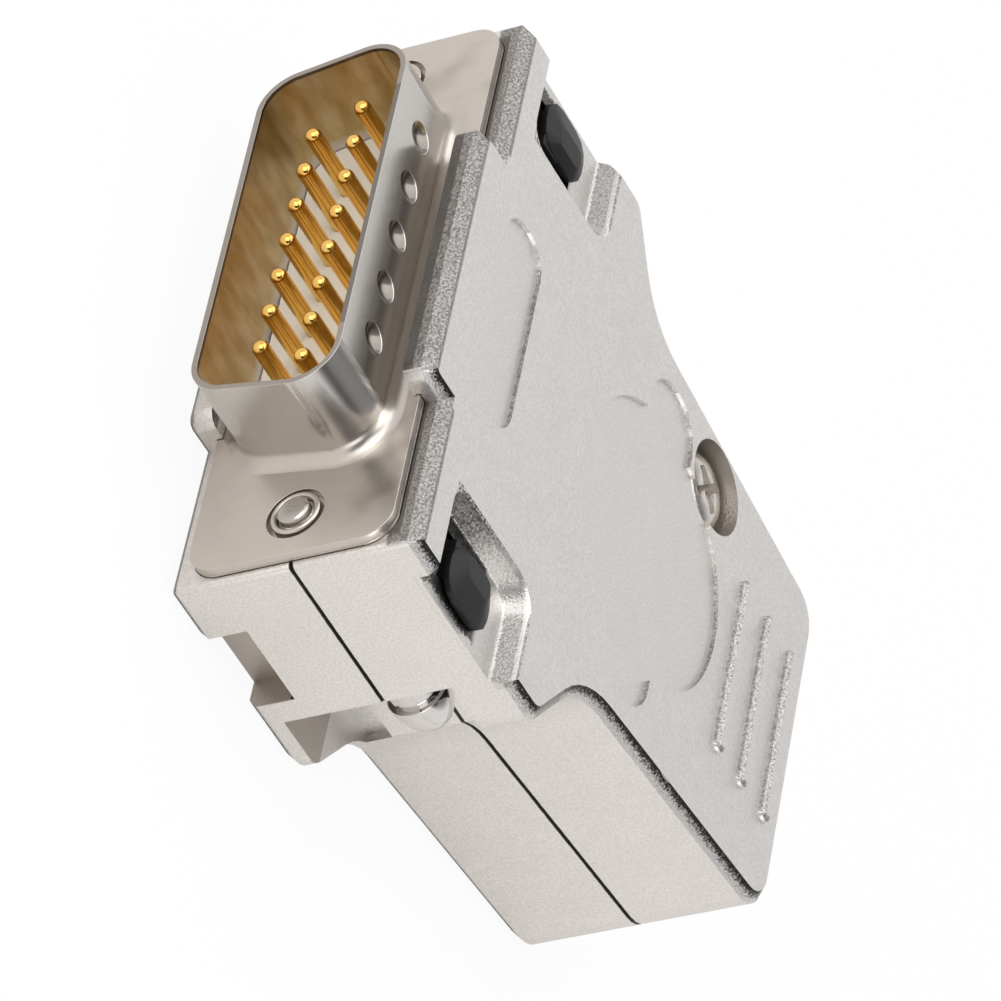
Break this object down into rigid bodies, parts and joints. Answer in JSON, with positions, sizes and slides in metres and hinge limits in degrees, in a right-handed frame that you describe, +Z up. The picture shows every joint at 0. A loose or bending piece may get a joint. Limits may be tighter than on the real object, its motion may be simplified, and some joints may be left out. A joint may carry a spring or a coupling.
{
  "type": "d-sub hood",
  "caption": "Metal d-sub hood in two cast half shells around a pin plug, with side release sliders on spring-return lock pins, a rear cable outlet and an inner cable clamp.",
  "frame": {"origin": "under the middle of the part's length and width, on the flat outer face of the lower shell that it rests on", "axes": "+Y runs from the mating face of the plug to the cable outlet, +X along the plug's flange, +Z up through the two shells"},
  "size_m": [0.04, 0.049, 0.0157],
  "materials": {
    "casting": "satin nickel-plated die-casting with rough bevels",
    "plated_shell": "smooth nickel-plated sheet steel",
    "insulator": "pale moulded plastic",
    "gold_contact": "gold-plated, polished",
    "polished_steel": "polished",
    "black_plastic": "satin black moulding",
    "spring_steel": "drawn wire",
    "screw": "nickel-plated"
  },
  "bodies": {
    "hood": {"top_shell": "casting", "bottom_shell": "casting", "plug_shell": "plated_shell", "rear_shell": "plated_shell", "insulator": "insulator", "eyelet_left": "plated_shell", "eyelet_right": "plated_shell", "return_spring_left": "spring_steel", "return_spring_right": "spring_steel", "cover_screw_top": "screw", "cover_screw_bottom": "screw", "cable_clamp": "plated_shell", "clamp_screw_left": "screw", "clamp_screw_right": "screw", "contact_01": "gold_contact", "contact_02": "gold_contact", "contact_03": "gold_contact", "contact_04": "gold_contact", "contact_05": "gold_contact", "contact_06": "gold_contact", "contact_07": "gold_contact", "contact_08": "gold_contact", "contact_09": "gold_contact", "contact_10": "gold_contact", "contact_11": "gold_contact", "contact_12": "gold_contact", "contact_13": "gold_contact", "contact_14": "gold_contact", "contact_15": "gold_contact"},
    "left_lock": {"lock_pin_left": "polished_steel", "release_slider_left": "black_plastic"},
    "right_lock": {"lock_pin_right": "polished_steel", "release_slider_right": "black_plastic"}
  },
  "joints": [
    {"name": "left_release", "type": "slide", "parent": "hood", "child": "left_lock", "axis": [0, 1, 0], "range_m": [0, 0.002], "stiffness_N_per_m": 300, "springref_m": -0.002, "deforming": ["return_spring_left"]},
    {"name": "right_release", "type": "slide", "parent": "hood", "child": "right_lock", "axis": [0, 1, 0], "range_m": [0, 0.002], "stiffness_N_per_m": 300, "springref_m": -0.002, "deforming": ["return_spring_right"]}
  ]
}
